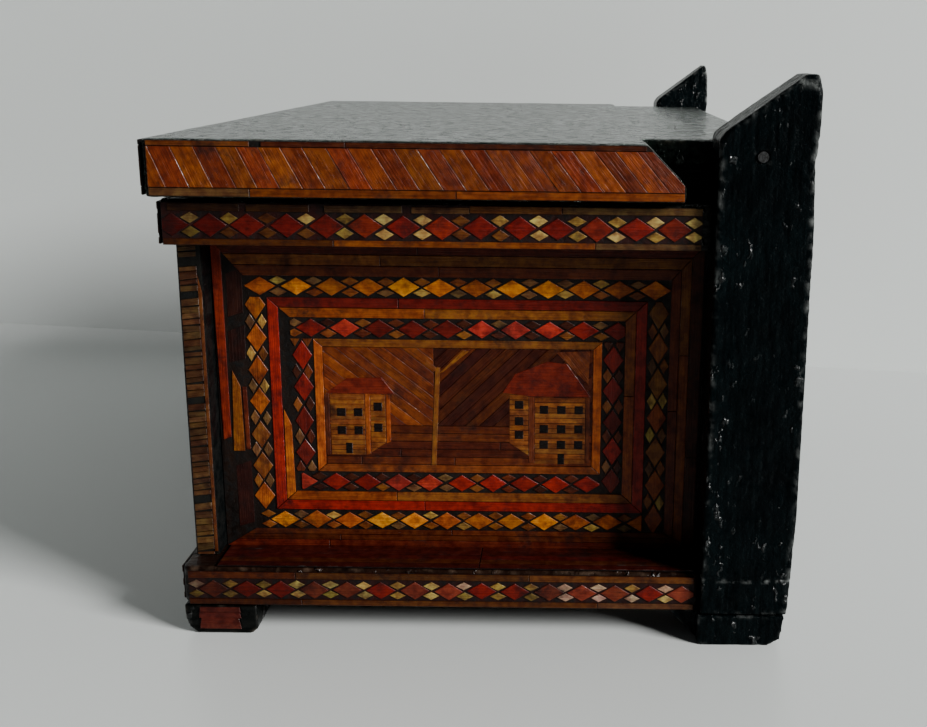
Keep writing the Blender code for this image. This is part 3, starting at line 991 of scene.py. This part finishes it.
def double_frame(inlay, outer, inner):
    """A red straw outside a yellow one, mitred; part of the yellow one is lost at the front."""
    middle = nested(outer, *RED_STRAW)
    for where, band in mitred_sides(outer, middle).items():
        inlay.long_straw(band, band_angle(where), [DEEP_RED if where == "top" else RED], (80, 130))
    for where, band in mitred_sides(middle, inner).items():
        if where != "front":
            inlay.long_straw(band, band_angle(where), [AMBER, OCHRE], (60, 120))
    u0, v0 = middle[:2]
    left_over = [(u0, v0), (u0 + 2.9, v0 + 2.6), (u0 + 2.6, v0 + 24), (u0 + 0.3, v0 + 29)]
    inlay.straw(left_over, UPRIGHT, GOLD)


def corner_strip(side, hand):
    """The end edge of the front board: short level straws like a rope, and one upright straw."""
    name = f"straw_corner_strip_{hand}"
    inlay = Inlay(f"marquetry_corner_{hand}", end_place(name, side), CORNER_SHADE)
    u0, v0, u1, v1 = face_rectangle(name, 1)
    u0 -= 0.5
    split = u1 - 1.1
    inlay.ground(rectangle(u0, v0, u1, v1), (0.0026, 0.0026, 0.0020))
    at = v0 - 1
    tints = [OLIVE, (0.085, 0.030, 0.010), (0.06, 0.020, 0.008), OLIVE, (0.07, 0.03, 0.012)]
    while at < v1:
        tall = inlay.random.uniform(1.2, 2.4)
        rise = inlay.random.uniform(0.3, 0.9)
        piece = [(u0, at), (split, at + rise), (split, at + tall + rise), (u0, at + tall)]
        if inlay.random.random() > 0.04:
            inlay.straw(cut_to(piece, rectangle(u0, v0, u1, v1)), math.atan2(rise, split - u0),
                        inlay.random.choice(tints), gap=0.05)
        at += tall + inlay.random.uniform(0.0, 0.25)
    inlay.straw([(split, v0 + 1), (u1, v0 + 1), (u1, v1 - 14), (split, v1 - 9)], UPRIGHT, OCHRE,
                gap=0.05)
    inlay.finish("box", name)


def ledge(side, hand):
    name = f"straw_ledge_{hand}"
    inlay = Inlay(f"marquetry_ledge_{hand}", ledge_place(name, side))
    low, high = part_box(name)
    u0, u1 = (low.y - FRONT_EDGE) / MM, (high.y - FRONT_EDGE) / MM
    v0, v1 = min(abs(low.x), abs(high.x)) / MM, max(abs(low.x), abs(high.x)) / MM
    inlay.ground(rectangle(u0, v0, u1, v1), (0.004, 0.0010, 0.0007), 0.2)
    # the ledge's own straw is dark red-brown; these tints lay it near black, painted shade on top of
    # that colour
    tints = [(0.035, 0.004, 0.002), OXBLOOD, (0.030, 0.003, 0.002), DARK_BROWN, OXBLOOD]
    step = (v1 - v0) / len(tints)
    for index, tint in enumerate(tints):
        strip = rectangle(u0, v0 + index * step, u1, v0 + (index + 1) * step)
        for low_u, high_u in ((u0, u0 + 0.55 * (u1 - u0)), (u0 + 0.55 * (u1 - u0), u1)):
            inlay.straw(cut_to(strip, rectangle(low_u, v0, high_u, v1)), 0, tint, top=0.44)
    inlay.finish("box", name)


def foot_patch(side, hand):
    name = f"straw_foot_end_{hand}"
    inlay = Inlay(f"marquetry_foot_{hand}", end_place(name, side))
    u0, v0, u1, v1 = face_rectangle(name, 1)
    inlay.ground(rectangle(u0 + 1.5, v0 + 0.3, u1 - 2.5, v1 - 0.3), (0.012, 0.003, 0.002), 0.1)
    count = 4
    step = (v1 - v0 - 0.4) / count
    for index in range(count):
        low = v0 + 0.2 + index * step
        start = u0 + 0.4 + inlay.random.uniform(0.0, 0.8)
        end = u1 - 1.4 - inlay.random.uniform(0.0, 0.9)
        inlay.straw([(start, low), (end, low), (end - 0.3, low + step), (start + 0.2, low + step)], 0,
                    (0.058, 0.0078, 0.0052), gap=-0.05, top=0.26, play=0.3)
    inlay.finish("box", name)


def front_panel():
    """The front, in the style of the ends: two framed fields side by side in one border."""
    name = "straw_panel_front"
    inlay = Inlay("marquetry_panel_front", front_place(name))
    panel = face_rectangle(name, 0)
    inlay.ground(rectangle(*panel))
    strips = nested(panel, 8.4, 8.2)
    for index, tint in enumerate((OXBLOOD, AMBER, BROWN)):
        outer = nested(panel, 2.8 * index, 2.75 * index)
        inner = nested(outer, 2.8, 2.75)
        for where, band in mitred_sides(outer, inner).items():
            inlay.long_straw(band, band_angle(where), [tint], (60, 110))
    row = 6.3
    diamond_frame(inlay, strips, nested(strips, row, row), (10.2,) * 4, (5.3, 9.0, 5.0, 4.6),
                  ([BRIGHT_GOLD, GOLD],) * 4, [CREAM, OCHRE, GOLD])
    field = nested(strips, row + 0.3, row + 0.3)
    middle = (field[0] + field[2]) / 2
    for left, right in ((field[0], middle - 0.3), (middle + 0.3, field[2])):
        frame_rect = (left, field[1], right, field[3])
        inner = nested(frame_rect, 6.2, 5.9)
        double_frame(inlay, frame_rect, inner)
        picture = nested(inner, 2.6, 2.4)
        for where, band in mitred_sides(inner, picture).items():
            inlay.straw(band, band_angle(where), OCHRE, gap=0.05)
        scene_picture(inlay, picture)
    inlay.finish("box", name)


def lid_front():
    name = "straw_lid_front"
    inlay = Inlay("marquetry_lid_front", front_place(name), LID_SHADE)
    u0, v0, u1, v1 = face_rectangle(name, 0)
    inlay.ground(rectangle(u0, v0, u1, v1))
    inlay.long_straw(rectangle(u0, v0, u1, v0 + 2.3), 0, [OCHRE, AMBER, OLIVE])
    inlay.long_straw(rectangle(u0, v1 - 1.5, u1, v1), 0, [BROWN, OCHRE])
    band = (u0, v0 + SLANTED_FOOT, u1, v1 - SLANTED_HEAD)
    slanted_band(inlay, band, None, u0 - 9, (6.5, 8.0))
    inlay.finish("lid", name)


def lay_straw():
    rim_pitch, base_pitch = 10.75, 9.95
    rim_straw = ([RED, RED, SCARLET], [CREAM, PALE_GOLD, PALE_GOLD, OCHRE], [OCHRE, GOLD, OLIVE], 5.0)
    base_straw = ([RED, DULL_ROSE, DULL_ROSE], [BLUSH, PALE_GOLD, CREAM], [OCHRE, AMBER, OLIVE])
    for side, hand in ((-1, "left"), (1, "right")):
        lid_end(side, hand)
        banded_rail(f"straw_rim_end_{hand}", side, rim_pitch, 17.4, *rim_straw)
        banded_rail(f"straw_base_end_{hand}", side, base_pitch, 12.7, *base_straw)
        end_panel(side, hand)
        corner_strip(side, hand)
        ledge(side, hand)
        foot_patch(side, hand)
    banded_rail("straw_rim_front", 0, rim_pitch, -120.0, *rim_straw)
    banded_rail("straw_base_front", 0, base_pitch, -124.0, *base_straw)
    front_panel()
    lid_front()


# ---------------------------------------------------------------- wood and paint

def paint_wood():
    lid = ("lid_board", "lid_rail_front", "lid_rail_left", "lid_rail_right")
    base = ("base_rail_front", "base_rail_left", "base_rail_right", "base_rail_back")
    rim = ("rim_rail_front", "rim_rail_left", "rim_rail_right")
    worn_copy("worn_lid", lid, "lid", lid_paint(), 0.8, 1, 0.10)
    worn_copy("worn_base", base, "box", base_paint(), 0.8, 2)
    worn_copy("worn_rim", rim, "box", trim_paint(), 0.7, 3)
    scored_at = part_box("base_rail_right")[1].z / MM - 0.8
    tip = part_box("hinge_post_right")[1].z / MM - 4.5
    for seed, hand in enumerate(("left", "right")):
        worn_copy(f"worn_post_{hand}", [f"hinge_post_{hand}"], "box", post_paint(), 0.55, seed + 4,
                  0.26, rubbed_from=tip, scored_at=scored_at)
        worn_copy(f"worn_foot_front_{hand}", [f"foot_front_{hand}"], "box", trim_paint(), 0.5,
                  seed + 6, 0.1)
        worn_copy(f"worn_foot_rear_{hand}", [f"foot_rear_{hand}"], "box", post_paint(), 0.5,
                  seed + 8, 0.15)
    inner_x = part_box("end_board_right")[0].x
    inner_y = -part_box("front_board")[1].y
    paint_cad_node("front_board", board_material("front_board_wood", (0, 1, 0), 0, inner_x))
    paint_cad_node("back_board", board_material("back_board_wood", (0, -1, 0), 0, inner_x))
    paint_cad_node("end_board_left", board_material("left_board_wood", (1, 0, 0), 1, inner_y))
    paint_cad_node("end_board_right", board_material("right_board_wood", (-1, 0, 0), 1, inner_y))
    paint_cad_node("bottom_board", bare_wood())
    for hand in ("left", "right"):
        paint_cad_node(f"hinge_pin_{hand}", pin_metal())


# ---------------------------------------------------------------- room, light and camera

def plain_sheet(name, corners, colour, roughness=0.6, open_behind=False):
    """A flat sheet; with open_behind it hides nothing from someone standing behind it."""
    mesh = bpy.data.meshes.new(name)
    mesh.from_pydata(corners, [], [(0, 1, 2, 3)])
    made, tree, shader = new_material(name)
    place = node(tree, "ShaderNodeTexCoord").outputs["Object"]
    mottle = grain(tree, place, 9.0, (1, 1, 1), detail=2.0)
    low, high = [tuple(c * k for c in colour) for k in (0.985, 1.015)]
    join(tree, shader, Base_Color=mix(tree, mottle, low, high))
    shader.inputs["Roughness"].default_value = roughness
    if open_behind:
        clear = node(tree, "ShaderNodeBsdfTransparent").outputs[0]
        behind = node(tree, "ShaderNodeNewGeometry").outputs["Backfacing"]
        sheet_or_clear = node(tree, "ShaderNodeMixShader", {0: behind, 1: shader.outputs[0], 2: clear})
        surface = tree.nodes["Material Output"].inputs["Surface"]
        tree.links.new(sheet_or_clear.outputs[0], surface)
    mesh.materials.append(made)
    sheet = bpy.data.objects.new(name, mesh)
    bpy.context.scene.collection.objects.link(sheet)


def build_room():
    """A pale table and, close behind the box, a pale board that stands a little askew."""
    near, far, side, height = 2.5, -1.5, 2.5, 2.2
    board_distance, board_slant = 0.2304, 0.1745
    table = (0.43, 0.45, 0.445)
    board = (0.565, 0.595, 0.585)

    def foot(y):
        return board_slant * y - board_distance
    plain_sheet("floor", [(far, -side, 0), (near, -side, 0), (near, side, 0), (far, side, 0)], table,
                roughness=0.32)
    plain_sheet("wall", [(foot(-side), -side, 0), (foot(side), side, 0), (foot(side), side, height),
                         (foot(-side), -side, height)], board, open_behind=True)


def build_light():
    """A wide window behind and to the right of the box, and the dim light of the room."""
    world = bpy.data.worlds.new("dim_room")
    world.use_nodes = True
    room = world.node_tree.nodes["Background"]
    room.inputs["Color"].default_value = (0.93, 0.97, 1.0, 1.0)
    room.inputs["Strength"].default_value = 0.06
    bpy.context.scene.world = world
    light = bpy.data.lights.new("window", "AREA")
    light.shape = "RECTANGLE"
    light.size = 2.3
    light.size_y = 2.3
    light.energy = 1680
    light.color = (1.0, 0.99, 0.97)
    window = bpy.data.objects.new("window", light)
    window.location = (3.28, 5.68, 3.08)
    middle_of_box = Vector((0, 0, 0.08))
    window.rotation_mode = "QUATERNION"
    window.rotation_quaternion = (middle_of_box - window.location).to_track_quat("-Z", "Y")
    bpy.context.scene.collection.objects.link(window)


def build_camera():
    """Eye a little above the ears, looking along -X at the right end and down by a small angle."""
    eye = Vector((464.0 * MM, FRONT_EDGE + 116.85 * MM, 170.3 * MM))
    pitch, roll = 0.2503, 0.0122
    data = bpy.data.cameras.new("camera")
    data.sensor_width = 36.0
    data.lens = 47.045
    data.shift_x = -0.1112
    camera = bpy.data.objects.new("camera", data)
    camera.matrix_world = (Matrix.Translation(eye) @ Matrix.Rotation(math.pi / 2, 4, "Z")
                           @ Matrix.Rotation(math.pi / 2 - pitch, 4, "X")
                           @ Matrix.Rotation(roll, 4, "Z"))
    bpy.context.scene.collection.objects.link(camera)
    bpy.context.scene.camera = camera


build_camera()
build_room()
build_light()
lay_straw()
paint_wood()
